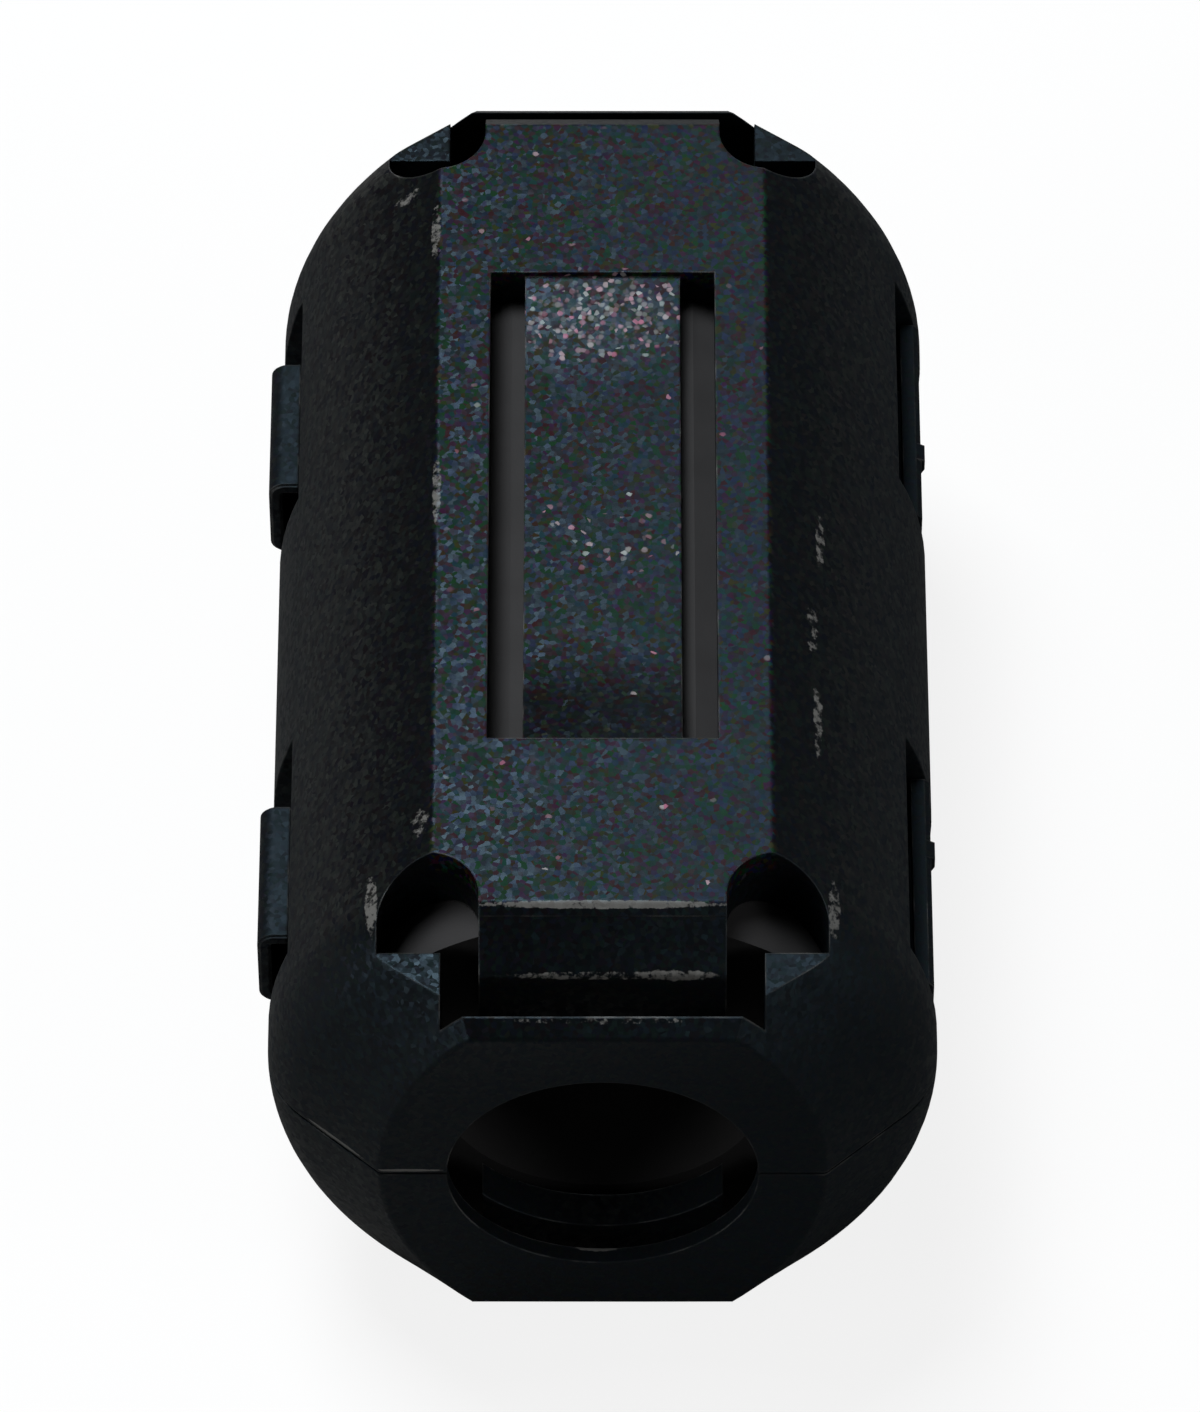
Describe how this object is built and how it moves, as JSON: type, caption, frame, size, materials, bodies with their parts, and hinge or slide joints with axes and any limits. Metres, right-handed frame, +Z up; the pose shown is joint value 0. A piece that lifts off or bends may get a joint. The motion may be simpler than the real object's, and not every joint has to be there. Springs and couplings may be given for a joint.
{
  "type": "clip-on ferrite bead",
  "caption": "Clip-on ferrite bead for a cable: two sintered ferrite halves in a hinged black plastic case with side latches, leaf springs and end fingers.",
  "frame": {"origin": "on the axis of the cable bore, halfway along it, in the parting plane of the two half shells", "axes": "+Y along the cable bore, +Z up out of the upper shell's flat, +X towards the latches; the hinge straps are on the -X side and the part lies on its lower flat"},
  "size_m": [0.0198, 0.035, 0.0186],
  "materials": {
    "case": "black moulded nylon with a fine spark-eroded grain",
    "ferrite": "bare sintered ferrite, dull grey-brown"
  },
  "bodies": {
    "base": {"lower_shell": "case", "lower_core": "ferrite", "strap_front": "case", "strap_rear": "case"},
    "lid": {"upper_shell": "case", "upper_core": "ferrite"},
    "front_latch": {"latch_front": "case"},
    "rear_latch": {"latch_rear": "case"}
  },
  "joints": [
    {"name": "lid_hinge", "type": "hinge", "parent": "base", "child": "lid", "pos_m": [-0.00986, 0, 0], "axis": [0, -1, 0], "range_deg": [0, 180], "deforming": ["strap_front", "strap_rear"]},
    {"name": "front_latch_flex", "type": "hinge", "parent": "base", "child": "front_latch", "pos_m": [0.00937, -0.00872, -0.0029], "axis": [0, 1, 0], "range_deg": [0, 12], "stiffness_Nm_per_rad": 0.02},
    {"name": "rear_latch_flex", "type": "hinge", "parent": "base", "child": "rear_latch", "pos_m": [0.00937, 0.00872, -0.0029], "axis": [0, 1, 0], "range_deg": [0, 12], "stiffness_Nm_per_rad": 0.02}
  ]
}
